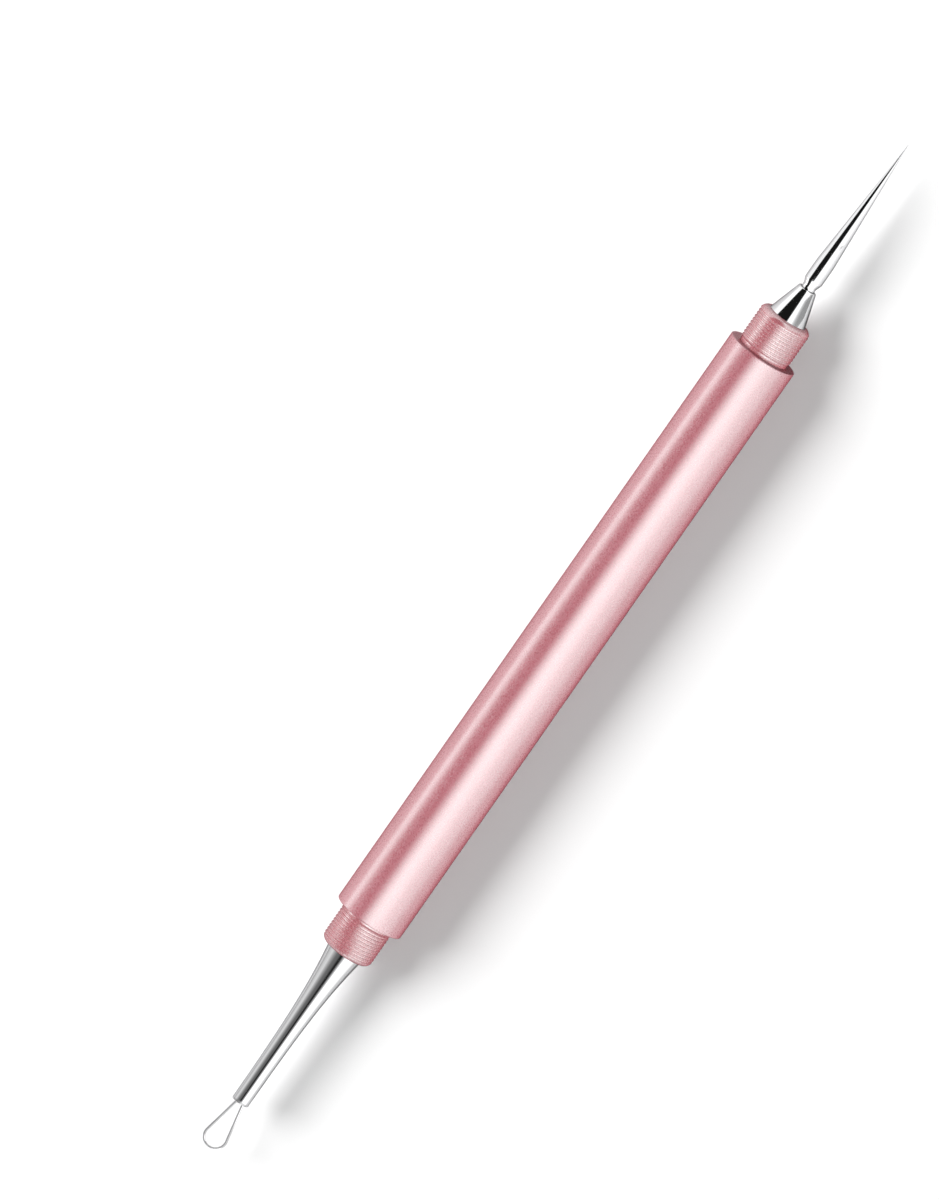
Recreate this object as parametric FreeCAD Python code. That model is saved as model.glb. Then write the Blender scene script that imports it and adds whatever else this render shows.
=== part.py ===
import FreeCAD, Part
import math
import os

# Double-ended blackhead extractor: a pen with a needle at one end and a wire loop at the other.
# The pen lies along X with its needle towards +X, and Z is up.
# The origin is the middle of the barrel, on its axis. Lengths are in millimetres.
# Both caps are off, in line with the pen, and each screws on along X over its tool.

# Barrel, a turned aluminium tube
barrel_length = 75.0
barrel_diameter = 8.0
barrel_wall = 0.8
rim_round = 0.12

# Fine thread that both collars and both cap liners share
thread_pitch = 0.4
thread_depth = 0.2
thread_foot_width = 0.26
thread_crest_width = 0.08
thread_clearance = 0.07
groove_run_out_share = 0.25

# Threaded collar, one pressed into each end of the barrel
collar_reach = 4.7
collar_shoulder_round = 0.8
collar_relief_width = 0.4
collar_relief_depth = 0.05
collar_relief_slope = 0.2
spigot_length = 10.0
socket_diameter = 3.0
socket_depth = 7.0

# Needle ferrule, the polished cone that carries the lancet
cone_base_diameter = 4.4
cone_top_diameter = 2.14
cone_length = 3.75
cone_edge_round = 0.15

# Lancet, a ground steel needle
lancet_length = 17.9
lancet_diameter = 2.1
lancet_belly_length = 2.2
lancet_belly_round = 12.0
lancet_heel_round = 0.35
lancet_tip_diameter = 0.06
neck_diameter = 1.56
neck_length = 1.1
neck_straight_length = 0.4
neck_round = 0.3
lancet_shank_diameter = 1.2
lancet_shank_length = 6.0

# Loop ferrule, the flared steel handle of the loop
flare_length = 20.1
flare_base_diameter = 3.9
flare_tip_diameter = 1.8
flare_edge_round = 0.08
flare_bore_diameter = 1.3
flare_bore_depth = 8.0
flare_pull_length_shares = (0.25, 0.5)
flare_pull_radius_shares = (0.21, 0.02)

# Wire loop and the braze that holds its legs
wire_diameter = 0.32
loop_length = 5.7
loop_width = 2.84
loop_bend_radius = 1.2
leg_spacing = 0.8
leg_length = 6.0
braze_length = 2.5
braze_inset = 0.1

# Caps
cap_wall = 0.5
cap_tip_clearance = 0.6
cap_plug_thickness = 1.0
cap_plug_seat_step = 0.15
cap_liner_wall = 0.36
cap_liner_overlap = 1.0
cap_liner_entry = 0.15
cap_seam_gap = 0.08
cap_turns_off = 105

# Clearances
press_gap = 0.02
running_gap = 0.04
end_gap = 0.1
overrun = 1.0

barrel_radius = barrel_diameter / 2
barrel_bore_radius = barrel_radius - barrel_wall
cap_bore_radius = barrel_radius - cap_wall
liner_outer_radius = cap_bore_radius - press_gap
liner_root_radius = liner_outer_radius - cap_liner_wall
thread_crest_radius = liner_root_radius - thread_clearance
thread_root_radius = thread_crest_radius - thread_depth
liner_crest_radius = thread_root_radius + thread_clearance
cap_travel = cap_turns_off * thread_pitch
collar_thread_start = collar_relief_width / 2
needle_reach = collar_reach + cone_length + neck_length + lancet_length
loop_reach = collar_reach + flare_length + loop_length


def at(x, radius):
    """A point of an outline, which is drawn above the X axis."""
    return FreeCAD.Vector(x, 0, radius)


def line(start, end):
    return Part.LineSegment(start, end).toShape()


def turn(edges):
    """Solid of revolution about the X axis from a closed outline."""
    face = Part.Face(Part.Wire(edges))
    return face.revolve(FreeCAD.Vector(0, 0, 0), FreeCAD.Vector(1, 0, 0), 360)


def rounded_outline(corners):
    """Edges of an outline through corners of (x, radius, rounding)."""
    cuts = []
    for index, (x, radius, rounding) in enumerate(corners):
        here = at(x, radius)
        following = corners[(index + 1) % len(corners)]
        back = (at(*corners[index - 1][:2]) - here).normalize()
        ahead = (at(*following[:2]) - here).normalize()
        if not rounding:
            cuts.append((here, None, here))
            continue
        half_angle = back.getAngle(ahead) / 2
        setback = rounding / math.tan(half_angle)
        to_arc = rounding / math.sin(half_angle) - rounding
        middle = here + (back + ahead).normalize() * to_arc
        cuts.append((here + back * setback, middle, here + ahead * setback))
    edges = []
    for index, (start, middle, end) in enumerate(cuts):
        if middle:
            edges.append(Part.Arc(start, middle, end).toShape())
        edges.append(line(end, cuts[(index + 1) % len(cuts)][0]))
    return edges


def lathe(*corners):
    """Solid turned about the X axis from corners of (x, radius, rounding)."""
    return turn(rounded_outline(corners))


def rod(start, end, radius):
    """Plain round bar from start to end along X."""
    return lathe((start, 0, 0), (start, radius, 0), (end, radius, 0), (end, 0, 0))


def thread_groove(start, end, root_radius, crest_radius):
    """Helical groove about X, right-handed, that runs out past the crest and past the end."""
    past_crest = (crest_radius - root_radius) * groove_run_out_share
    slope_width = (thread_foot_width - thread_crest_width) / 2
    root_half = (thread_pitch - thread_foot_width) / 2
    mouth_half = root_half + slope_width * (1 + groove_run_out_share)
    corners = [
        (root_radius, -root_half),
        (crest_radius + past_crest, -mouth_half),
        (crest_radius + past_crest, mouth_half),
        (root_radius, root_half),
    ]
    turns = math.ceil((end - start) / thread_pitch) + 1
    # Each corner of the groove's section follows one helix a turn, so no error adds up.
    helices = []
    for radius, offset in corners:
        helix = []
        for index in range(turns):
            one_turn = Part.makeHelix(thread_pitch, thread_pitch, radius)
            one_turn.translate(FreeCAD.Vector(0, 0, offset + index * thread_pitch))
            helix += one_turn.Edges
        helices.append(helix)
    faces = []
    for index, helix in enumerate(helices):
        beside = helices[(index + 1) % len(helices)]
        faces += [Part.makeRuledSurface(*pair) for pair in zip(helix, beside)]
    for height in (0, turns * thread_pitch):
        rim = [FreeCAD.Vector(radius, 0, offset + height) for radius, offset in corners]
        faces.append(Part.Face(Part.makePolygon(rim + rim[:1])))
    shell = Part.makeShell(faces)
    shell.sewShape()
    groove = Part.makeSolid(shell)
    if groove.Volume < 0:
        groove.reverse()
    groove.rotate(FreeCAD.Vector(0, 0, 0), FreeCAD.Vector(0, 1, 0), 90)
    groove.translate(FreeCAD.Vector(start, 0, 0))
    return groove


def barrel_tube():
    half = barrel_length / 2
    return lathe(
        (-half, barrel_bore_radius, 0),
        (-half, barrel_radius, rim_round),
        (half, barrel_radius, rim_round),
        (half, barrel_bore_radius, 0),
    )


# The pieces of each end are drawn with x measured outwards from the barrel's end face.


def collar():
    """Externally threaded collar with the spigot that is pressed into the barrel."""
    relief_radius = thread_root_radius - collar_relief_depth
    slope_end = collar_relief_width + collar_relief_slope
    blank = lathe(
        (0, 0, 0),
        (0, relief_radius, 0),
        (collar_relief_width, relief_radius, 0),
        (slope_end, thread_crest_radius, 0),
        (collar_reach, thread_crest_radius, collar_shoulder_round),
        (collar_reach, 0, 0),
    )
    groove = thread_groove(
        collar_thread_start, collar_reach, thread_root_radius, thread_crest_radius
    )
    spigot = rod(-spigot_length, 0, barrel_bore_radius - press_gap)
    socket = rod(collar_reach - socket_depth, collar_reach + overrun, socket_diameter / 2)
    return blank.cut(groove).fuse(spigot).cut(socket)


def socket_spigot():
    """Plain shank that each tool ferrule has in its collar's socket."""
    inner_end = collar_reach - socket_depth + end_gap
    return rod(inner_end, collar_reach, socket_diameter / 2 - press_gap)


def needle_ferrule():
    cone_top = collar_reach + cone_length
    cone = lathe(
        (collar_reach, 0, 0),
        (collar_reach, cone_base_diameter / 2, 0),
        (cone_top, cone_top_diameter / 2, cone_edge_round),
        (cone_top, 0, 0),
    )
    bore_end = cone_top - lancet_shank_length - end_gap
    bore = rod(bore_end, cone_top + overrun, lancet_shank_diameter / 2)
    return cone.fuse(socket_spigot()).cut(bore).removeSplitter()


def lancet():
    cone_top = collar_reach + cone_length
    heel = cone_top + neck_length
    shank_radius = lancet_shank_diameter / 2 - press_gap
    return lathe(
        (cone_top - lancet_shank_length, 0, 0),
        (cone_top - lancet_shank_length, shank_radius, 0),
        (cone_top, shank_radius, 0),
        (cone_top, neck_diameter / 2, 0),
        (cone_top + neck_straight_length, neck_diameter / 2, neck_round),
        (heel, lancet_diameter / 2, lancet_heel_round),
        (heel + lancet_belly_length, lancet_diameter / 2, lancet_belly_round),
        (needle_reach, lancet_tip_diameter / 2, 0),
        (needle_reach, 0, 0),
    )


def loop_ferrule():
    """Flared handle: a curve from its wide base to its slim tip, bored for the wire's legs."""
    tip = collar_reach + flare_length
    base_radius = flare_base_diameter / 2
    tip_radius = flare_tip_diameter / 2
    poles = [at(collar_reach, base_radius)]
    for length_share, radius_share in zip(flare_pull_length_shares, flare_pull_radius_shares):
        pull_x = collar_reach + flare_length * length_share
        poles.append(at(pull_x, tip_radius + (base_radius - tip_radius) * radius_share))
    poles.append(at(tip - flare_edge_round, tip_radius))
    flare = Part.BezierCurve()
    flare.setPoles(poles)
    edge_share = 1 - math.cos(math.radians(45))
    edge = Part.Arc(
        at(tip - flare_edge_round, tip_radius),
        at(tip - flare_edge_round * edge_share, tip_radius - flare_edge_round * edge_share),
        at(tip, tip_radius - flare_edge_round),
    )
    body = turn([
        line(at(collar_reach, 0), at(collar_reach, base_radius)),
        flare.toShape(),
        edge.toShape(),
        line(at(tip, tip_radius - flare_edge_round), at(tip, 0)),
        line(at(tip, 0), at(collar_reach, 0)),
    ])
    bore = rod(tip - flare_bore_depth, tip + overrun, flare_bore_diameter / 2)
    return body.fuse(socket_spigot()).cut(bore).removeSplitter()


def loop_path():
    """Centre line of the wire: a leg, a bend, a splayed side, the round end and back."""
    tip = collar_reach + flare_length
    leg = leg_spacing / 2
    radius = (loop_width - wire_diameter) / 2
    centre = tip + loop_length - loop_width / 2
    bend_start = tip
    # The bend turns the leg outwards until the side runs tangent to the round end.
    bend_y = leg + loop_bend_radius
    reach = math.hypot(centre - bend_start, bend_y)
    splay = math.asin((radius + loop_bend_radius) / reach) - math.atan2(
        bend_y, centre - bend_start
    )

    def point(x, y):
        return FreeCAD.Vector(x, y, 0)

    def on_bend(angle):
        x = bend_start + loop_bend_radius * math.sin(angle)
        return x, bend_y - loop_bend_radius * math.cos(angle)

    def on_end(angle):
        return centre - radius * math.sin(angle), radius * math.cos(angle)

    edges = []
    for side in (1, -1):
        def mirrored(spot, side=side):
            return point(spot[0], spot[1] * side)

        inner = mirrored((tip - leg_length, leg))
        start = mirrored(on_bend(0))
        middle = mirrored(on_bend(splay / 2))
        bend_end = mirrored(on_bend(splay))
        end = mirrored(on_end(splay))
        edges.append(line(inner, start))
        edges.append(Part.Arc(start, middle, bend_end).toShape())
        edges.append(line(bend_end, end))
    top = point(*on_end(splay))
    bottom = point(on_end(splay)[0], -on_end(splay)[1])
    edges.append(Part.Arc(top, point(centre + radius, 0), bottom).toShape())
    return Part.Wire(Part.__sortEdges__(edges))


def wire_loop():
    path = loop_path()
    start = path.OrderedVertexes[0].Point
    section = Part.Circle(start, FreeCAD.Vector(1, 0, 0), wire_diameter / 2).toShape()
    return path.makePipeShell([Part.Wire(section)], True, False)


def loop_braze():
    """Plug of braze that fills the ferrule's mouth round the two legs."""
    end = collar_reach + flare_length - braze_inset
    plug = rod(end - braze_length, end, flare_bore_diameter / 2 - press_gap)
    for side in (1, -1):
        hole = rod(end - braze_length - overrun, end + overrun, wire_diameter / 2 + press_gap)
        hole.translate(FreeCAD.Vector(0, side * leg_spacing / 2, 0))
        plug = plug.cut(hole)
    return plug


# The pieces of a cap are drawn screwed home, with the seam gap at the barrel's end face.


def cap_length(tool_reach):
    return tool_reach + cap_tip_clearance + cap_plug_thickness


def cap_shell(tool_reach):
    mouth = cap_seam_gap
    end = mouth + cap_length(tool_reach)
    ledge = end - cap_plug_thickness
    seat_radius = cap_bore_radius + cap_plug_seat_step
    return lathe(
        (mouth, cap_bore_radius, 0),
        (mouth, barrel_radius, rim_round),
        (end, barrel_radius, rim_round),
        (end, seat_radius, 0),
        (ledge, seat_radius, 0),
        (ledge, cap_bore_radius, 0),
    )


def cap_liner():
    """Internally threaded bush that is pressed into the cap's mouth."""
    mouth = cap_seam_gap
    end = collar_reach + cap_liner_overlap
    blank = lathe(
        (mouth, liner_root_radius, 0),
        (mouth, liner_outer_radius, 0),
        (end, liner_outer_radius, 0),
        (end, liner_crest_radius, 0),
        (mouth + cap_liner_entry, liner_crest_radius, 0),
    )
    # Half a pitch from the collar's groove, and enough whole turns back to clear the mouth.
    in_mesh = collar_thread_start + thread_pitch / 2
    turns_back = math.ceil((in_mesh - mouth) / thread_pitch) + 1
    start = in_mesh - turns_back * thread_pitch
    return blank.cut(thread_groove(start, end, liner_root_radius, liner_crest_radius))


def cap_plug(tool_reach):
    end = cap_seam_gap + cap_length(tool_reach)
    radius = cap_bore_radius + cap_plug_seat_step - running_gap
    return lathe(
        (end - cap_plug_thickness + running_gap, 0, 0),
        (end - cap_plug_thickness + running_gap, radius, 0),
        (end, radius, rim_round),
        (end, 0, 0),
    )


def at_needle_end(shape, outwards=0):
    shape.translate(FreeCAD.Vector(barrel_length / 2 + outwards, 0, 0))
    return shape


def at_loop_end(shape, outwards=0):
    shape.rotate(FreeCAD.Vector(0, 0, 0), FreeCAD.Vector(0, 0, 1), 180)
    shape.translate(FreeCAD.Vector(-barrel_length / 2 - outwards, 0, 0))
    return shape


nodes = {
    "barrel_tube": barrel_tube(),
    "needle_collar": at_needle_end(collar()),
    "needle_ferrule": at_needle_end(needle_ferrule()),
    "lancet_needle": at_needle_end(lancet()),
    "loop_collar": at_loop_end(collar()),
    "loop_ferrule": at_loop_end(loop_ferrule()),
    "loop_braze": at_loop_end(loop_braze()),
    "wire_loop": at_loop_end(wire_loop()),
    "needle_cap_shell": at_needle_end(cap_shell(needle_reach), cap_travel),
    "needle_cap_liner": at_needle_end(cap_liner(), cap_travel),
    "needle_cap_plug": at_needle_end(cap_plug(needle_reach), cap_travel),
    "loop_cap_shell": at_loop_end(cap_shell(loop_reach), cap_travel),
    "loop_cap_liner": at_loop_end(cap_liner(), cap_travel),
    "loop_cap_plug": at_loop_end(cap_plug(loop_reach), cap_travel),
}

os.makedirs("parts", exist_ok=True)
for name, shape in nodes.items():
    shape.exportStep("parts/" + name + ".step")
    print(name, len(shape.Solids), "solid", shape.isValid(), round(shape.Volume, 3), "mm3")
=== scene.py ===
import math
import bmesh
import bpy
from mathutils import Matrix, Vector


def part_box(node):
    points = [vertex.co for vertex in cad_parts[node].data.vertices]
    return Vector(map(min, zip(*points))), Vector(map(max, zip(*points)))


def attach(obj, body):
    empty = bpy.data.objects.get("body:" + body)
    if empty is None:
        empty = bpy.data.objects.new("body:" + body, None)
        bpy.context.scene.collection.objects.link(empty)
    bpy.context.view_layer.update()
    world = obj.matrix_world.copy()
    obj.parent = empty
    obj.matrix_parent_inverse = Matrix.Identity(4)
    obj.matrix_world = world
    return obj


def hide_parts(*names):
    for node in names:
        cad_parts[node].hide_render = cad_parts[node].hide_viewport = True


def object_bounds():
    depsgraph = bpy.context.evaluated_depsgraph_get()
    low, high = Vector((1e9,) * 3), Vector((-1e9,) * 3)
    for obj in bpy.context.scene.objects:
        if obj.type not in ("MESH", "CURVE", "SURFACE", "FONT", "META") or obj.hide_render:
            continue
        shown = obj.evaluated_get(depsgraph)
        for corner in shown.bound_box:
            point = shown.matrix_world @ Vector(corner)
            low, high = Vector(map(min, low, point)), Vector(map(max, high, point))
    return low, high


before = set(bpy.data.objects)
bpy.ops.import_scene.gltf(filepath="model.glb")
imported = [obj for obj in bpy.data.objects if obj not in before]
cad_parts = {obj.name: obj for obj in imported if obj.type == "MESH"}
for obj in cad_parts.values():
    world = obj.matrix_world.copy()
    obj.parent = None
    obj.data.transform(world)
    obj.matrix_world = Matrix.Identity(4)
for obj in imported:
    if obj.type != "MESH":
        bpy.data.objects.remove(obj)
cad_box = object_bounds()


# Barrel: a plain aluminium tube, turned to length with its two rims just broken, blasted to a
# satin and anodised in a pearly pink. The two collars are pressed into its ends.
barrel_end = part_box("barrel_tube")[1][0]
barrel_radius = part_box("barrel_tube")[1][2]
barrel_wall = 0.0008
rim_round = 0.00012
round_sides = 128
weld_distance = 0.0000005
on_ring = 10 * weld_distance
degrees_a_facet = 12
fewest_facets = 3


def select_only(piece):
    """Deselects all and makes one piece the selected, active one."""
    bpy.ops.object.select_all(action="DESELECT")
    piece.select_set(True)
    bpy.context.view_layer.objects.active = piece


def select_ring(piece, x, radius):
    """In edit mode, selects the circular edge that lies at x and radius."""
    bpy.ops.mesh.select_mode(type="EDGE")
    bpy.ops.mesh.select_all(action="DESELECT")
    shape = bmesh.from_edit_mesh(piece.data)
    for edge in shape.edges:
        off = [abs(v.co.x - x) + abs(math.hypot(v.co.y, v.co.z) - radius) for v in edge.verts]
        edge.select_set(max(off) < on_ring)
    bmesh.update_edit_mesh(piece.data)


def turned(name, corners, tube=False, sides=round_sides):
    """A piece off the lathe: a circle drawn out along X through corners of (x, radius, rounding)."""
    bpy.ops.object.select_all(action="DESELECT")
    x, radius, _ = corners[0]
    bpy.ops.mesh.primitive_circle_add(
        vertices=sides,
        radius=radius,
        fill_type="NOTHING" if tube else "NGON",
        location=(x, 0, 0),
        rotation=(0, math.radians(90), 0),
    )
    piece = bpy.context.object
    piece.name = name
    bpy.ops.object.transform_apply()
    bpy.ops.object.mode_set(mode="EDIT")
    bpy.ops.mesh.select_all(action="SELECT")
    for next_x, next_radius, _ in corners[1:] + corners[:1] * tube:
        bpy.ops.mesh.extrude_region_move(TRANSFORM_OT_translate={"value": (next_x - x, 0, 0)})
        scale = next_radius / radius
        bpy.ops.transform.resize(value=(1, scale, scale), center_override=(next_x, 0, 0))
        x, radius = next_x, next_radius
    bpy.ops.mesh.select_all(action="SELECT")
    bpy.ops.mesh.remove_doubles(threshold=weld_distance)
    bpy.ops.mesh.normals_make_consistent(inside=False)
    for index, (x, radius, rounding) in enumerate(corners):
        if not rounding:
            continue
        before = corners[index - 1]
        after = corners[(index + 1) % len(corners)]
        came = Vector((x - before[0], radius - before[1]))
        goes = Vector((after[0] - x, after[1] - radius))
        turning = came.angle(goes)
        select_ring(piece, x, radius)
        bpy.ops.mesh.bevel(
            offset=rounding * math.tan(turning / 2),
            segments=max(fewest_facets, math.ceil(math.degrees(turning) / degrees_a_facet)),
            affect="EDGES",
        )
    bpy.ops.object.mode_set(mode="OBJECT")
    return piece


def smooth(piece, sharp_degrees=35):
    """Shades curves smooth and keeps large faces true beside small rounded edges."""
    select_only(piece)
    bpy.ops.object.shade_smooth_by_angle(angle=math.radians(sharp_degrees))
    bpy.ops.object.modifier_add(type="WEIGHTED_NORMAL")
    piece.modifiers[-1].keep_sharp = True
    bpy.ops.object.modifier_apply(modifier=piece.modifiers[-1].name)


def add_node(tree, kind, place, **settings):
    """Adds a shader node at its place in the editor, with its settings."""
    node = tree.nodes.new(kind)
    node.location = place
    for setting, value in settings.items():
        setattr(node, setting, value)
    return node


grains_per_metre = 7500
clouds_per_metre = 420
cloud_detail = 3
tooth_detail = 2


def pearl_speckle_group():
    """Fine pearl flake in a dyed coat: small paler grains, a faint cloudiness and a soft tooth."""
    group = bpy.data.node_groups.new("pearl speckle", "ShaderNodeTree")
    face = group.interface
    for label, kind in (
        ("Position", "NodeSocketVector"),
        ("Dye", "NodeSocketColor"),
        ("Pearl", "NodeSocketColor"),
        ("Grains per metre", "NodeSocketFloat"),
        ("Smoothest", "NodeSocketFloat"),
        ("Roughest", "NodeSocketFloat"),
    ):
        face.new_socket(label, in_out="INPUT", socket_type=kind)
    for label, kind in (
        ("Colour", "NodeSocketColor"),
        ("Roughness", "NodeSocketFloat"),
        ("Height", "NodeSocketFloat"),
    ):
        face.new_socket(label, in_out="OUTPUT", socket_type=kind)
    enter = add_node(group, "NodeGroupInput", (-900, 0))
    leave = add_node(group, "NodeGroupOutput", (700, 0))
    link = group.links.new

    grain = add_node(group, "ShaderNodeTexVoronoi", (-600, 200), feature="F1")
    link(enter.outputs["Position"], grain.inputs["Vector"])
    link(enter.outputs["Grains per metre"], grain.inputs["Scale"])
    shade = add_node(group, "ShaderNodeSeparateColor", (-400, 260))
    link(grain.outputs["Color"], shade.inputs["Color"])

    cloud = add_node(group, "ShaderNodeTexNoise", (-600, -160))
    cloud.inputs["Scale"].default_value = clouds_per_metre
    cloud.inputs["Detail"].default_value = cloud_detail
    link(enter.outputs["Position"], cloud.inputs["Vector"])

    amount = add_node(group, "ShaderNodeMath", (-200, 120), operation="MULTIPLY")
    link(shade.outputs["Red"], amount.inputs[0])
    link(cloud.outputs["Fac"], amount.inputs[1])
    colour = add_node(group, "ShaderNodeMix", (200, 160), data_type="RGBA")
    link(amount.outputs["Value"], colour.inputs["Factor"])
    link(enter.outputs["Dye"], colour.inputs["A"])
    link(enter.outputs["Pearl"], colour.inputs["B"])
    link(colour.outputs["Result"], leave.inputs["Colour"])

    rough = add_node(group, "ShaderNodeMapRange", (200, -60))
    link(shade.outputs["Green"], rough.inputs["Value"])
    link(enter.outputs["Smoothest"], rough.inputs["To Min"])
    link(enter.outputs["Roughest"], rough.inputs["To Max"])
    link(rough.outputs["Result"], leave.inputs["Roughness"])
    tooth = add_node(group, "ShaderNodeTexNoise", (-600, -420))
    tooth.inputs["Detail"].default_value = tooth_detail
    link(enter.outputs["Position"], tooth.inputs["Vector"])
    link(enter.outputs["Grains per metre"], tooth.inputs["Scale"])
    link(tooth.outputs["Fac"], leave.inputs["Height"])
    return group


pearl_speckle = pearl_speckle_group()
pearl_tooth_height = 0.000004
pearl_gloss = (0.69, 1.0, 0.96, 1)
film_depth = (0.91, 0.85, 0.86, 1)


def pearl_pink(name, dye, pearl, smoothest, roughest, tooth_strength=0.5, gloss_index=4):
    """Satin anodised aluminium: a pearly pink dye under a sealed skin that darkens edge-on."""
    material = bpy.data.materials.new(name)
    material.use_nodes = True
    tree = material.node_tree
    surface = tree.nodes["Principled BSDF"]
    place = add_node(tree, "ShaderNodeTexCoord", (-900, 0))
    speckle = add_node(tree, "ShaderNodeGroup", (-600, 0), node_tree=pearl_speckle)
    speckle.inputs["Dye"].default_value = (*dye, 1)
    speckle.inputs["Pearl"].default_value = (*pearl, 1)
    speckle.inputs["Grains per metre"].default_value = grains_per_metre
    speckle.inputs["Smoothest"].default_value = smoothest
    speckle.inputs["Roughest"].default_value = roughest
    tooth = add_node(tree, "ShaderNodeBump", (-300, -200))
    tooth.inputs["Distance"].default_value = pearl_tooth_height
    tooth.inputs["Strength"].default_value = tooth_strength
    link = tree.links.new
    link(place.outputs["Object"], speckle.inputs["Position"])
    link(speckle.outputs["Colour"], surface.inputs["Base Color"])
    link(speckle.outputs["Roughness"], surface.inputs["Roughness"])
    link(speckle.outputs["Height"], tooth.inputs["Height"])
    link(tooth.outputs["Normal"], surface.inputs["Normal"])
    surface.inputs["IOR"].default_value = gloss_index
    surface.inputs["Specular Tint"].default_value = pearl_gloss
    surface.inputs["Coat Weight"].default_value = 1
    surface.inputs["Coat IOR"].default_value = 1
    surface.inputs["Coat Tint"].default_value = film_depth
    return material


anodised_pink = pearl_pink(
    "anodised pink",
    dye=(0.585, 0.168, 0.205),
    pearl=(0.74, 0.285, 0.34),
    smoothest=0.26,
    roughest=0.31,
)

barrel = turned(
    "barrel",
    [
        (-barrel_end, barrel_radius - barrel_wall, 0),
        (-barrel_end, barrel_radius, rim_round),
        (barrel_end, barrel_radius, rim_round),
        (barrel_end, barrel_radius - barrel_wall, 0),
    ],
    tube=True,
)
smooth(barrel)
barrel.data.materials.append(anodised_pink)
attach(barrel, "barrel")
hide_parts("barrel_tube")


# Collars: turned aluminium plugs in the same pink, pressed into the barrel by a long spigot.
# Each has a fine right-handed thread cut outside, for its cap, and a bore for its tool's shank.
thread_pitch = 0.0004
thread_depth = 0.0001
thread_foot_width = 0.00026
thread_crest_width = 0.00008
thread_crest_radius = 0.00305
thread_root_radius = thread_crest_radius - thread_depth
thread_slope_width = (thread_foot_width - thread_crest_width) / 2
collar_reach = 0.0047
collar_shoulder_round = 0.0008
relief_width = 0.0004
relief_depth = 0.00005
relief_slope = 0.0002
thread_start = relief_width / 2
spigot_length = 0.01
socket_radius = 0.0015
socket_depth = 0.007
press_gap = 0.00002
thread_steps = 96


def threaded_rod(name, start, end, low_radius, high_radius, low_width):
    """A rod with a right-handed thread at least from start to end, its low flat at thread_start."""
    bpy.ops.object.select_all(action="DESELECT")
    turns_before = math.ceil((thread_start - start) / thread_pitch) + 1
    first_x = thread_start - turns_before * thread_pitch - low_width / 2
    bpy.ops.mesh.primitive_plane_add(size=low_width, location=(first_x, 0, -low_radius))
    rod = bpy.context.object
    rod.name = name
    bpy.ops.object.transform_apply()
    bpy.ops.object.mode_set(mode="EDIT")
    bpy.ops.mesh.select_mode(type="VERT")
    bpy.ops.mesh.select_all(action="SELECT")
    bpy.ops.mesh.merge(type="CENTER")
    high_width = thread_pitch - low_width - 2 * thread_slope_width
    rise = high_radius - low_radius
    for along, outward in (
        (low_width, 0),
        (thread_slope_width, rise),
        (high_width, 0),
        (thread_slope_width, -rise),
    ):
        step = {"value": (along, 0, -outward)}
        bpy.ops.mesh.extrude_region_move(TRANSFORM_OT_translate=step)
    bpy.ops.object.mode_set(mode="OBJECT")
    bpy.ops.object.modifier_add(type="SCREW")
    screw = rod.modifiers[-1]
    screw.axis = "X"
    screw.angle = math.radians(360)
    screw.screw_offset = thread_pitch
    screw.iterations = math.ceil((end - first_x) / thread_pitch) + 1
    screw.steps = thread_steps
    screw.render_steps = thread_steps
    bpy.ops.object.modifier_apply(modifier=screw.name)
    bpy.ops.object.mode_set(mode="EDIT")
    bpy.ops.mesh.select_all(action="SELECT")
    bpy.ops.mesh.remove_doubles(threshold=weld_distance)
    bpy.ops.mesh.select_all(action="DESELECT")
    bpy.ops.mesh.select_non_manifold()
    bpy.ops.mesh.extrude_region_move()
    bpy.ops.mesh.merge(type="COLLAPSE")
    bpy.ops.mesh.select_all(action="SELECT")
    bpy.ops.mesh.normals_make_consistent(inside=False)
    bpy.ops.object.mode_set(mode="OBJECT")
    return rod


def combine(piece, tool, operation):
    """Cuts the piece by the tool, or keeps what both share, and removes the tool."""
    select_only(piece)
    bpy.ops.object.modifier_add(type="BOOLEAN")
    boolean = piece.modifiers[-1]
    boolean.operation = operation
    boolean.solver = "EXACT"
    boolean.object = tool
    bpy.ops.object.modifier_apply(modifier=boolean.name)
    select_only(tool)
    bpy.ops.object.delete()


def set_at_end(piece, side, pulled_off=0):
    """Takes a piece drawn outwards from a barrel's end face to the needle (1) or loop (-1) end."""
    select_only(piece)
    piece.rotation_euler.z = 0 if side > 0 else math.pi
    piece.location.x = side * (barrel_end + pulled_off)
    bpy.ops.object.transform_apply()


def copied(piece, name):
    """A copy of a finished piece, with a mesh of its own."""
    select_only(piece)
    bpy.ops.object.duplicate(linked=False)
    copy = bpy.context.object
    copy.name = name
    return copy


over_crest = 0.00001
collar_tail = 0.0001
inner_stock_end = relief_width * 0.6
needle_collar = turned(
    "needle_collar_turned",
    [
        (-spigot_length, barrel_radius - barrel_wall - press_gap, 0),
        (0, barrel_radius - barrel_wall - press_gap, 0),
        (0, thread_root_radius - relief_depth, 0),
        (relief_width, thread_root_radius - relief_depth, 0),
        (relief_width + relief_slope, thread_crest_radius + over_crest, 0),
        (collar_reach, thread_crest_radius + over_crest, collar_shoulder_round),
        (collar_reach, socket_radius, 0),
        (collar_reach - socket_depth, socket_radius, 0),
    ],
)
thread_blank = threaded_rod(
    "thread_blank",
    thread_start,
    collar_reach + collar_tail,
    thread_root_radius,
    thread_crest_radius,
    thread_pitch - thread_foot_width,
)
inner_stock = turned(
    "inner_stock",
    [
        (-spigot_length - collar_tail, barrel_radius, 0),
        (inner_stock_end, barrel_radius, 0),
    ],
)
combine(thread_blank, inner_stock, "UNION")
combine(needle_collar, thread_blank, "INTERSECT")
smooth(needle_collar)
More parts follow.
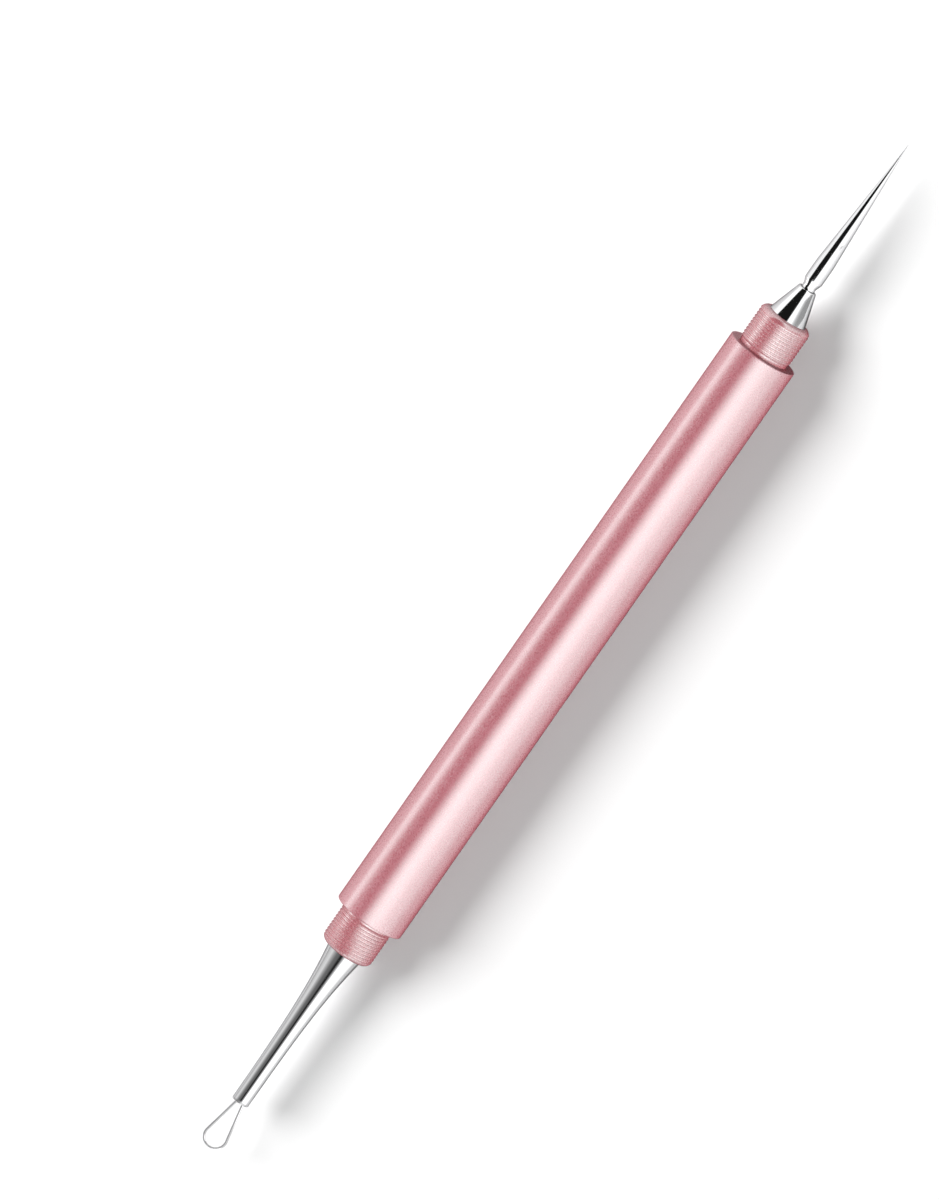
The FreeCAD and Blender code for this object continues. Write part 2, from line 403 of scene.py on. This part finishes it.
thread_pink = pearl_pink(
    "thread pink",
    dye=(0.72, 0.225, 0.26),
    pearl=(0.76, 0.265, 0.305),
    smoothest=0.26,
    roughest=0.28,
    tooth_strength=0.05,
    gloss_index=5,
)
needle_collar.data.materials.append(thread_pink)
loop_collar = copied(needle_collar, "loop_collar_turned")
for collar, side, node in ((needle_collar, 1, "needle_collar"), (loop_collar, -1, "loop_collar")):
    set_at_end(collar, side)
    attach(collar, "barrel")
    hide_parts(node)


# Needle ferrule: a stainless steel cone, turned and mirror-polished, whose shank is pressed into
# the collar. Its bore takes the lancet's shank.
cone_base_radius = 0.0022
cone_top_radius = 0.00107
cone_length = 0.00375
cone_edge_round = 0.00015
lancet_shank_radius = 0.0006
lancet_shank_length = 0.006
end_gap = 0.0001
shank_end = collar_reach - socket_depth + end_gap
shank_radius = socket_radius - press_gap
cone_top = collar_reach + cone_length


smears_per_metre = 900
smear_detail = 4
smear_low, smear_high = 0.3, 0.7
ring_detail = 2
ring_shade = 0.93


def turning_marks_group():
    """Very fine rings that the lathe leaves, with the streaky sheen of hand polishing."""
    group = bpy.data.node_groups.new("turning marks", "ShaderNodeTree")
    face = group.interface
    for label, kind in (
        ("Position", "NodeSocketVector"),
        ("Metal", "NodeSocketColor"),
        ("Rings per metre", "NodeSocketFloat"),
        ("Smoothest", "NodeSocketFloat"),
        ("Roughest", "NodeSocketFloat"),
    ):
        face.new_socket(label, in_out="INPUT", socket_type=kind)
    for label, kind in (
        ("Colour", "NodeSocketColor"),
        ("Roughness", "NodeSocketFloat"),
        ("Height", "NodeSocketFloat"),
    ):
        face.new_socket(label, in_out="OUTPUT", socket_type=kind)
    enter = add_node(group, "NodeGroupInput", (-900, 0))
    leave = add_node(group, "NodeGroupOutput", (800, 0))
    link = group.links.new

    axes = add_node(group, "ShaderNodeSeparateXYZ", (-700, 0))
    link(enter.outputs["Position"], axes.inputs["Vector"])
    across = add_node(group, "ShaderNodeCombineXYZ", (-500, -120))
    link(axes.outputs["Y"], across.inputs["X"])
    link(axes.outputs["Z"], across.inputs["Y"])
    radius = add_node(group, "ShaderNodeVectorMath", (-320, -120), operation="LENGTH")
    link(across.outputs["Vector"], radius.inputs[0])
    reach = add_node(group, "ShaderNodeMath", (-140, 0), operation="ADD")
    link(axes.outputs["X"], reach.inputs[0])
    link(radius.outputs["Value"], reach.inputs[1])
    rings = add_node(group, "ShaderNodeTexNoise", (60, 60), noise_dimensions="1D")
    rings.inputs["Detail"].default_value = ring_detail
    link(reach.outputs["Value"], rings.inputs["W"])
    link(enter.outputs["Rings per metre"], rings.inputs["Scale"])

    smear = add_node(group, "ShaderNodeTexNoise", (60, -260))
    smear.inputs["Scale"].default_value = smears_per_metre
    smear.inputs["Detail"].default_value = smear_detail
    link(enter.outputs["Position"], smear.inputs["Vector"])

    rough = add_node(group, "ShaderNodeMapRange", (320, -60))
    rough.inputs["From Min"].default_value = smear_low
    rough.inputs["From Max"].default_value = smear_high
    link(smear.outputs["Fac"], rough.inputs["Value"])
    link(enter.outputs["Smoothest"], rough.inputs["To Min"])
    link(enter.outputs["Roughest"], rough.inputs["To Max"])
    link(rough.outputs["Result"], leave.inputs["Roughness"])
    link(rings.outputs["Fac"], leave.inputs["Height"])

    shade = add_node(group, "ShaderNodeMapRange", (320, 260))
    shade.inputs["To Min"].default_value = ring_shade
    shade.inputs["To Max"].default_value = 1
    link(rings.outputs["Fac"], shade.inputs["Value"])
    colour = add_node(group, "ShaderNodeVectorMath", (560, 260), operation="SCALE")
    link(enter.outputs["Metal"], colour.inputs[0])
    link(shade.outputs["Result"], colour.inputs["Scale"])
    link(colour.outputs["Vector"], leave.inputs["Colour"])
    return group


turning_marks = turning_marks_group()
ring_height = 0.0000015


def turned_metal(name, colour, rings_per_metre, smoothest, roughest, ring_strength, edge=0.2):
    """Bare metal off the lathe, polished more or less, with a darker gloss seen edge-on."""
    material = bpy.data.materials.new(name)
    material.use_nodes = True
    tree = material.node_tree
    surface = tree.nodes["Principled BSDF"]
    place = add_node(tree, "ShaderNodeTexCoord", (-900, 0))
    marks = add_node(tree, "ShaderNodeGroup", (-600, 0), node_tree=turning_marks)
    marks.inputs["Metal"].default_value = (*colour, 1)
    marks.inputs["Rings per metre"].default_value = rings_per_metre
    marks.inputs["Smoothest"].default_value = smoothest
    marks.inputs["Roughest"].default_value = roughest
    rings = add_node(tree, "ShaderNodeBump", (-300, -200))
    rings.inputs["Distance"].default_value = ring_height
    rings.inputs["Strength"].default_value = ring_strength
    link = tree.links.new
    link(place.outputs["Object"], marks.inputs["Position"])
    link(marks.outputs["Colour"], surface.inputs["Base Color"])
    link(marks.outputs["Roughness"], surface.inputs["Roughness"])
    link(marks.outputs["Height"], rings.inputs["Height"])
    link(rings.outputs["Normal"], surface.inputs["Normal"])
    surface.inputs["Metallic"].default_value = 1
    surface.inputs["Specular Tint"].default_value = (edge, edge, edge, 1)
    return material


mirror_steel = turned_metal(
    "mirror steel",
    colour=(0.86, 0.86, 0.87),
    rings_per_metre=9000,
    smoothest=0.05,
    roughest=0.11,
    ring_strength=0.15,
)

needle_ferrule = turned(
    "needle_ferrule_cone",
    [
        (shank_end, shank_radius, 0),
        (collar_reach, shank_radius, 0),
        (collar_reach, cone_base_radius, 0),
        (cone_top, cone_top_radius, cone_edge_round),
        (cone_top, lancet_shank_radius, 0),
        (cone_top - lancet_shank_length - end_gap, lancet_shank_radius, 0),
    ],
)
smooth(needle_ferrule)
set_at_end(needle_ferrule, 1)
needle_ferrule.data.materials.append(mirror_steel)
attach(needle_ferrule, "barrel")
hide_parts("needle_ferrule")


# Lancet: one piece of stainless wire, ground to a long point from a short round belly, with a
# narrow neck behind it. Its shank is glued into the cone's bore.
neck_radius = 0.00078
neck_length = 0.0011
neck_straight = 0.0004
neck_round = 0.0003
lancet_radius = 0.00105
lancet_length = 0.0179
belly_length = 0.0022
belly_round = 0.012
heel_round = 0.00035
lancet_tip_radius = 0.00003
lancet_sides = 96
heel = cone_top + neck_length

lancet = turned(
    "lancet",
    [
        (cone_top - lancet_shank_length, lancet_shank_radius - press_gap, 0),
        (cone_top, lancet_shank_radius - press_gap, 0),
        (cone_top, neck_radius, 0),
        (cone_top + neck_straight, neck_radius, neck_round),
        (heel, lancet_radius, heel_round),
        (heel + belly_length, lancet_radius, belly_round),
        (heel + lancet_length, lancet_tip_radius, 0),
    ],
    sides=lancet_sides,
)
smooth(lancet)
set_at_end(lancet, 1)
lancet.data.materials.append(mirror_steel)
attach(lancet, "barrel")
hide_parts("lancet_needle")


# Loop ferrule: the loop's steel handle, drawn from a wide foot to a slim straight tip and
# mirror-polished. Its shank is pressed into the collar, and its tip is bored for the wire.
flare_base_radius = 0.00205
flare_tip_radius = 0.001
flare_length = 0.0201
flare_edge_round = 0.00008
flare_bore_radius = 0.00065
flare_bore_depth = 0.008
flare_pull_length_shares = (0, 0.25, 0.5, 1)
flare_pull_radius_shares = (1, 0.21, 0.02, 0)
flare_steps = 40
ferrule_tip = collar_reach + flare_length


def cubic(shares, step):
    """Where a curve with four pull points is, at a step from 0 to 1."""
    a, b, c, d = shares
    stay = 1 - step
    return a * stay**3 + 3 * b * stay**2 * step + 3 * c * stay * step**2 + d * step**3


flare = []
for index in range(flare_steps + 1):
    along_share = cubic(flare_pull_length_shares, index / flare_steps)
    width_share = cubic(flare_pull_radius_shares, index / flare_steps)
    flare_x = collar_reach + flare_length * along_share
    flare_radius = flare_tip_radius + (flare_base_radius - flare_tip_radius) * width_share
    flare.append((flare_x, flare_radius, 0))
flare[-1] = (ferrule_tip, flare_tip_radius, flare_edge_round)

loop_ferrule = turned(
    "loop_ferrule_flare",
    [
        (shank_end, shank_radius, 0),
        (collar_reach, shank_radius, 0),
        *flare,
        (ferrule_tip, flare_bore_radius, 0),
        (ferrule_tip - flare_bore_depth, flare_bore_radius, 0),
    ],
)
smooth(loop_ferrule)
set_at_end(loop_ferrule, -1)
loop_ferrule.data.materials.append(mirror_steel)
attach(loop_ferrule, "barrel")
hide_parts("loop_ferrule")


# Wire loop: one length of hard stainless wire bent into a drop shape, with a few fine notches
# pressed across its far end. Both legs stand side by side in the ferrule's bore.
wire_steel = turned_metal(
    "wire steel",
    colour=(0.84, 0.84, 0.85),
    rings_per_metre=20000,
    smoothest=0.08,
    roughest=0.16,
    ring_strength=0.1,
    edge=0.8,
)
wire_radius = 0.00016
loop_length = 0.0061
loop_width = 0.00284
loop_bend_radius = 0.0012
leg_offset = 0.0004
leg_length = 0.006
wire_sides = 24
bend_steps = 8
end_steps = 72
notch_count = 11
notch_depth = 0.00006
end_radius = loop_width / 2 - wire_radius
end_centre = ferrule_tip + loop_length - loop_width / 2
bend_centre_y = leg_offset + loop_bend_radius
bend_to_end = math.hypot(end_centre - ferrule_tip, bend_centre_y)
splay = math.asin((end_radius + loop_bend_radius) / bend_to_end)
splay -= math.atan2(bend_centre_y, end_centre - ferrule_tip)


def bend_wire(centre, turn, steps):
    """Carries the wire's end round a centre, by an angle that is positive to the left."""
    bpy.ops.mesh.spin(steps=steps, angle=-turn, center=centre, axis=(0, 0, 1))


bpy.ops.object.select_all(action="DESELECT")
bpy.ops.mesh.primitive_circle_add(
    vertices=wire_sides,
    radius=wire_radius,
    fill_type="NGON",
    location=(ferrule_tip - leg_length, -leg_offset, 0),
    rotation=(0, math.radians(90), 0),
)
wire = bpy.context.object
wire.name = "wire_loop_bent"
bpy.ops.object.transform_apply()
side_start_x = ferrule_tip + loop_bend_radius * math.sin(splay)
side_start_y = bend_centre_y - loop_bend_radius * math.cos(splay)
side_end_x = end_centre - end_radius * math.sin(splay)
side_end_y = end_radius * math.cos(splay)
side_x = side_end_x - side_start_x
side_y = side_end_y - side_start_y
bpy.ops.object.mode_set(mode="EDIT")
bpy.ops.mesh.select_all(action="SELECT")
bpy.ops.mesh.extrude_region_move(TRANSFORM_OT_translate={"value": (leg_length, 0, 0)})
bend_wire((ferrule_tip, -bend_centre_y, 0), -splay, bend_steps)
bpy.ops.mesh.extrude_region_move(TRANSFORM_OT_translate={"value": (side_x, -side_y, 0)})
end_turn = math.pi + 2 * splay
bend_wire((end_centre, 0, 0), end_turn, end_steps)
bpy.ops.mesh.extrude_region_move(TRANSFORM_OT_translate={"value": (-side_x, -side_y, 0)})
bend_wire((ferrule_tip, bend_centre_y, 0), -splay, bend_steps)
bpy.ops.mesh.extrude_region_move(TRANSFORM_OT_translate={"value": (-leg_length, 0, 0)})
bpy.ops.mesh.select_all(action="SELECT")
bpy.ops.mesh.normals_make_consistent(inside=False)
bpy.ops.mesh.select_mode(type="VERT")
bpy.ops.mesh.select_all(action="DESELECT")
wire_shape = bmesh.from_edit_mesh(wire.data)
ring_turn = end_turn / end_steps
for vertex in wire_shape.verts:
    ring = math.atan2(vertex.co.y, vertex.co.x - end_centre) / ring_turn
    vertex.select_set(abs(ring) < notch_count and round(ring) % 2 == 1)
bmesh.update_edit_mesh(wire.data)
bpy.ops.transform.shrink_fatten(value=-notch_depth)
bpy.ops.object.mode_set(mode="OBJECT")
smooth(wire)
set_at_end(wire, -1)
wire.data.materials.append(wire_steel)
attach(wire, "barrel")
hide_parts("wire_loop")


# Braze: the silver braze that was run into the ferrule's mouth round the two legs of the wire.
# It sits a little below the mouth, with the dished surface of a cooled drop.
braze_length = 0.0025
braze_inset = 0.0001
braze_dish = 0.00006
dish_rim, dish_floor = 0.7, 0.3
dish_rim_depth = 0.75
braze_sides = 64
leg_hole_sides = 32
braze_end = ferrule_tip - braze_inset
braze_radius = flare_bore_radius - press_gap
leg_hole_radius = wire_radius + press_gap

braze = turned(
    "braze_plug",
    [
        (braze_end - braze_length, braze_radius, 0),
        (braze_end, braze_radius, 0),
        (braze_end - braze_dish * dish_rim_depth, braze_radius * dish_rim, 0),
        (braze_end - braze_dish, braze_radius * dish_floor, 0),
    ],
    sides=braze_sides,
)
for side in (1, -1):
    leg_hole = turned(
        "leg_hole",
        [
            (braze_end - 2 * braze_length, leg_hole_radius, 0),
            (braze_end + braze_length, leg_hole_radius, 0),
        ],
        sides=leg_hole_sides,
    )
    leg_hole.location.y = side * leg_offset
    combine(braze, leg_hole, "DIFFERENCE")
smooth(braze)
set_at_end(braze, -1)
silver_braze = turned_metal(
    "silver braze",
    colour=(0.72, 0.70, 0.66),
    rings_per_metre=3000,
    smoothest=0.22,
    roughest=0.4,
    ring_strength=0.5,
)
braze.data.materials.append(silver_braze)
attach(braze, "barrel")
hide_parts("loop_braze")


# Caps: a plain pink tube for each end, with a bare aluminium bush pressed into its mouth, whose
# inside thread fits the collar, and a pink disc pressed into its far end.
cap_wall = 0.0005
cap_seam = 0.00008
cap_tip_clearance = 0.0006
plug_thickness = 0.001
plug_seat_step = 0.00015
liner_overlap = 0.001
liner_entry = 0.00015
running_gap = 0.00004
thread_clearance = 0.00007
cap_travel = 0.042
disc_ring = 0.3
cap_bore_radius = barrel_radius - cap_wall
seat_radius = cap_bore_radius + plug_seat_step
liner_root_radius = thread_crest_radius + thread_clearance
liner_crest_radius = thread_root_radius + thread_clearance
liner_end = collar_reach + liner_overlap
bare_aluminium = turned_metal(
    "bare aluminium",
    colour=(0.80, 0.80, 0.81),
    rings_per_metre=12000,
    smoothest=0.2,
    roughest=0.32,
    ring_strength=0.6,
)

needle_reach = heel + lancet_length
loop_reach = 0.0305
for end_name, side, tool_reach in (("needle", 1, needle_reach), ("loop", -1, loop_reach)):
    cap_end = cap_seam + tool_reach + cap_tip_clearance + plug_thickness
    shell = turned(
        f"{end_name}_cap_tube",
        [
            (cap_seam, cap_bore_radius, 0),
            (cap_seam, barrel_radius, rim_round),
            (cap_end, barrel_radius, rim_round),
            (cap_end, seat_radius, 0),
            (cap_end - plug_thickness, seat_radius, 0),
            (cap_end - plug_thickness, cap_bore_radius, 0),
        ],
        tube=True,
    )
    smooth(shell)
    shell.data.materials.append(anodised_pink)
    set_at_end(shell, side, cap_travel)
    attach(shell, f"{end_name}_cap")
    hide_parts(f"{end_name}_cap_shell")

    liner = turned(
        f"{end_name}_cap_bush",
        [
            (cap_seam, liner_root_radius, 0),
            (cap_seam, cap_bore_radius - press_gap, 0),
            (liner_end, cap_bore_radius - press_gap, 0),
            (liner_end, liner_crest_radius - over_crest, 0),
            (cap_seam + liner_entry, liner_crest_radius - over_crest, 0),
        ],
        tube=True,
    )
    thread_tool = threaded_rod(
        "thread_tool",
        cap_seam - thread_pitch,
        liner_end + thread_pitch,
        liner_crest_radius,
        liner_root_radius,
        thread_crest_width,
    )
    combine(liner, thread_tool, "DIFFERENCE")
    smooth(liner)
    liner.data.materials.append(bare_aluminium)
    set_at_end(liner, side, cap_travel)
    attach(liner, f"{end_name}_cap")
    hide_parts(f"{end_name}_cap_liner")

    disc = turned(
        f"{end_name}_cap_disc",
        [
            (cap_end - plug_thickness + running_gap, seat_radius - running_gap, 0),
            (cap_end, seat_radius - running_gap, rim_round),
            (cap_end, seat_radius * disc_ring, 0),
        ],
    )
    smooth(disc)
    disc.data.materials.append(anodised_pink)
    set_at_end(disc, side, cap_travel)
    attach(disc, f"{end_name}_cap_end")
    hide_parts(f"{end_name}_cap_plug")


# Studio: a pale table, one soft lamp from the upper left that throws the pen's shadow, and a
# bright room whose one dark flag draws the long stripe in the satin pink.
needle_end_px = (762.1, 354.0)
loop_end_px = (369.3, 917.4)
frame_px = (939, 1200)
barrel_px = 75
camera_tilt = math.radians(12)
lens_mm = 800
sensor_mm = 36

across_px = needle_end_px[0] - loop_end_px[0]
up_px = loop_end_px[1] - needle_end_px[1]
heading = math.atan2(up_px, across_px)
metres_per_px = 2 * barrel_radius / barrel_px
along = Vector((math.cos(camera_tilt), 0, -math.sin(camera_tilt)))
beside = Vector((0, 1, 0))
back = along.cross(beside)
right = along * math.cos(heading) - beside * math.sin(heading)
up = along * math.sin(heading) + beside * math.cos(heading)
middle_px = [(a + b) / 2 for a, b in zip(needle_end_px, loop_end_px)]
aim = right * (frame_px[0] / 2 - middle_px[0]) * metres_per_px
aim += up * (middle_px[1] - frame_px[1] / 2) * metres_per_px
half_view = math.atan(sensor_mm / 2 / lens_mm)
distance = frame_px[1] / 2 * metres_per_px / math.tan(half_view)
bpy.ops.object.camera_add(
    location=aim + back * distance,
    rotation=Matrix((right, up, back)).transposed().to_euler(),
)
camera = bpy.context.object
camera.data.lens = lens_mm
camera.data.sensor_width = sensor_mm
camera.data.clip_end = 4 * distance
bpy.context.scene.camera = camera

table_size = 6
table_grey = 0.94
table_bounce = 0.7
table_lift = 0.03
bpy.ops.object.select_all(action="DESELECT")
bpy.ops.mesh.primitive_plane_add(size=table_size, location=(0, 0, cad_box[0][2]))
table = bpy.context.object
table.name = "table"
table_paint = bpy.data.materials.new("table")
table_paint.use_nodes = True
table_tree = table_paint.node_tree
table_surface = table_tree.nodes["Principled BSDF"]
table_surface.inputs["Roughness"].default_value = 1
table_surface.inputs["Specular IOR Level"].default_value = 0
table_path = add_node(table_tree, "ShaderNodeLightPath", (-900, -200))
looked_at = add_node(table_tree, "ShaderNodeMath", (-600, 100), operation="MAXIMUM")
table_tree.links.new(table_path.outputs["Is Camera Ray"], looked_at.inputs[0])
table_tree.links.new(table_path.outputs["Is Glossy Ray"], looked_at.inputs[1])
paleness = add_node(table_tree, "ShaderNodeMapRange", (-300, 100))
paleness.inputs["To Min"].default_value = table_bounce
paleness.inputs["To Max"].default_value = table_grey
table_tree.links.new(looked_at.outputs["Value"], paleness.inputs["Value"])
table_tree.links.new(paleness.outputs["Result"], table_surface.inputs["Base Color"])
glow = add_node(table_tree, "ShaderNodeMath", (-300, -200), operation="MULTIPLY")
glow.inputs[1].default_value = table_lift
table_tree.links.new(table_path.outputs["Is Camera Ray"], glow.inputs[0])
table_tree.links.new(glow.outputs["Value"], table_surface.inputs["Emission Strength"])
table_surface.inputs["Emission Color"].default_value = (1, 1, 1, 1)
table.data.materials.append(table_paint)

lamp_height = math.radians(38.5)
lamp_spread = math.radians(33)
lamp_strength = 3.5
bpy.ops.object.light_add(type="SUN", rotation=(-(math.radians(90) - lamp_height), 0, 0))
lamp = bpy.context.object
lamp.name = "soft lamp"
lamp.data.energy = lamp_strength
lamp.data.angle = lamp_spread
lamp.visible_glossy = False

# A weaker lamp opposite, through a sheet so large that it throws no shadow, evens the light.
fill_height = math.radians(10)
fill_spread = math.radians(60)
fill_strength = 3.5
soft_fill = 0.19
bpy.ops.object.light_add(type="SUN", rotation=(math.radians(90) - fill_height, 0, 0))
fill_lamp = bpy.context.object
fill_lamp.name = "fill lamp"
fill_lamp.data.energy = fill_strength
fill_lamp.data.angle = fill_spread
fill_lamp.data.use_shadow = False
fill_lamp.visible_glossy = False
fill_lamp.data.cycles.max_bounces = 0

brightest = 3.0


def brightness_by_lean(tree, direction, stops_by_angle):
    """Brightness by the angle from overhead, in degrees, where the lamp's side is positive."""
    link = tree.links.new
    axes = add_node(tree, "ShaderNodeSeparateXYZ", (-900, -200))
    link(direction, axes.inputs["Vector"])
    lean = add_node(tree, "ShaderNodeMath", (-700, -200), operation="ARCTAN2")
    link(axes.outputs["Y"], lean.inputs[0])
    link(axes.outputs["Z"], lean.inputs[1])
    share = add_node(tree, "ShaderNodeMapRange", (-500, -200))
    share.inputs["From Min"].default_value = -math.pi
    share.inputs["From Max"].default_value = math.pi
    link(lean.outputs["Value"], share.inputs["Value"])
    ramp = add_node(tree, "ShaderNodeValToRGB", (-300, -200))
    link(share.outputs["Result"], ramp.inputs["Fac"])
    stops = ramp.color_ramp.elements
    while len(stops) < len(stops_by_angle):
        stops.new(1)
    for stop, (angle, brightness) in zip(stops, stops_by_angle):
        stop.position = 0.5 + angle / 360
        level = brightness / brightest
        stop.color = (level, level, level, 1)
    scaled = add_node(tree, "ShaderNodeMath", (0, -200), operation="MULTIPLY")
    scaled.inputs[1].default_value = brightest
    link(ramp.outputs["Color"], scaled.inputs[0])
    return scaled.outputs["Value"]


# Curved cards stand round the two steel tools, and only gloss shows them. The cone looks out
# between the two over the lancet at a third, wider one, which has its grey stripe.
near_radius = 0.014
wide_radius = 0.03
card_sides = 96
steel_white = 1.3


def curved_card(name, start, end, stops_by_angle, radius=near_radius):
    """A glowing tube round the pen's axis, from start to end, that only gloss shows."""
    bpy.ops.object.select_all(action="DESELECT")
    bpy.ops.mesh.primitive_cylinder_add(
        vertices=card_sides,
        radius=radius,
        depth=end - start,
        end_fill_type="NOTHING",
        location=((start + end) / 2, 0, 0),
        rotation=(0, math.radians(90), 0),
    )
    card = bpy.context.object
    card.name = name
    bpy.ops.object.transform_apply()
    paint = bpy.data.materials.new(name)
    paint.use_nodes = True
    paint.cycles.emission_sampling = "NONE"
    tree = paint.node_tree
    surface = tree.nodes["Principled BSDF"]
    surface.inputs["Base Color"].default_value = (0, 0, 0, 1)
    surface.inputs["Specular IOR Level"].default_value = 0
    surface.inputs["Emission Color"].default_value = (1, 1, 1, 1)
    place = add_node(tree, "ShaderNodeTexCoord", (-1100, -200))
    shine = brightness_by_lean(tree, place.outputs["Object"], stops_by_angle)
    tree.links.new(shine, surface.inputs["Emission Strength"])
    card.data.materials.append(paint)
    card.visible_camera = False
    card.visible_diffuse = False
    card.visible_transmission = False
    card.visible_shadow = False


around_lancet = (
    (-130, 0.75),
    (-100, 0.88),
    (-60, steel_white),
    (-9, steel_white),
    (-4, 0.01),
    (53, 0.01),
    (58, 1.10),
    (100, 1.10),
    (130, 0.75),
)
curved_card("card over lancet", 0.0510, 0.0760, around_lancet)
curved_card("card over lancet heel", 0.0390, 0.0495, around_lancet, wide_radius)
curved_card(
    "card over cone",
    0.0495,
    0.0700,
    (
        (-134, 0.70),
        (-118, 0.60),
        (-106, 0.22),
        (-98, 0.22),
        (-90, 0.36),
        (-60, 0.38),
        (-46, 0.64),
        (-34, steel_white),
        (-10, steel_white),
        (-6, 0.01),
        (58, 0.01),
        (62, steel_white),
        (110, steel_white),
        (130, 0.85),
    ),
    wide_radius,
)
curved_card(
    "card over loop handle",
    -0.0660,
    -0.0420,
    (
        (-150, 0.20),
        (-126, 0.32),
        (-112, 0.45),
        (-98, 0.75),
        (-70, 1.50),
        (-40, 1.70),
        (-26, 1.50),
        (-16, 0.56),
        (-8, 0.15),
        (-2, 0.01),
        (6, 0.02),
        (14, 0.13),
        (32, 0.18),
        (50, 0.43),
        (67, 0.81),
        (85, 0.72),
        (112, 0.36),
        (150, 0.20),
    ),
)
curved_card(
    "card over wire",
    -0.0760,
    -0.0660,
    (
        (-120, 0.25),
        (-60, 0.80),
        (-16, 0.90),
        (0, 0.40),
        (44, 0.22),
        (70, 0.50),
        (110, 0.30),
    ),
)

room = bpy.data.worlds.new("studio")
room.use_nodes = True
bpy.context.scene.world = room
room.cycles.sampling_method = "NONE"
tree = room.node_tree
link = tree.links.new
backdrop = tree.nodes["Background"]
backdrop.inputs["Color"].default_value = (1, 1, 1, 1)
direction = add_node(tree, "ShaderNodeTexCoord", (-1100, -200))
path = add_node(tree, "ShaderNodeLightPath", (-300, 300))
room_light = brightness_by_lean(
    tree,
    direction.outputs["Generated"],
    (
        (-107, 0.80),
        (-97, 1.10),
        (-80, 1.36),
        (-57, 1.70),
        (-37, 2.35),
        (-18, 2.80),
        (-8, 2.60),
        (-1, 2.15),
        (6, 1.60),
        (14, 0.84),
        (22, 0.18),
        (28, 0.01),
        (55, 0.01),
        (62, 0.50),
        (71, 1.50),
        (81, 2.35),
        (93, 2.60),
        (107, 1.60),
    ),
)
seen_by_gloss = add_node(tree, "ShaderNodeMix", (200, 0), data_type="FLOAT")
link(path.outputs["Is Glossy Ray"], seen_by_gloss.inputs["Factor"])
seen_by_gloss.inputs["A"].default_value = soft_fill
link(room_light, seen_by_gloss.inputs["B"])
seen_by_camera = add_node(tree, "ShaderNodeMix", (400, 0), data_type="FLOAT")
link(path.outputs["Is Camera Ray"], seen_by_camera.inputs["Factor"])
link(seen_by_gloss.outputs["Result"], seen_by_camera.inputs["A"])
seen_by_camera.inputs["B"].default_value = 1
link(seen_by_camera.outputs["Result"], backdrop.inputs["Strength"])

bpy.context.scene.view_settings.view_transform = "Standard"
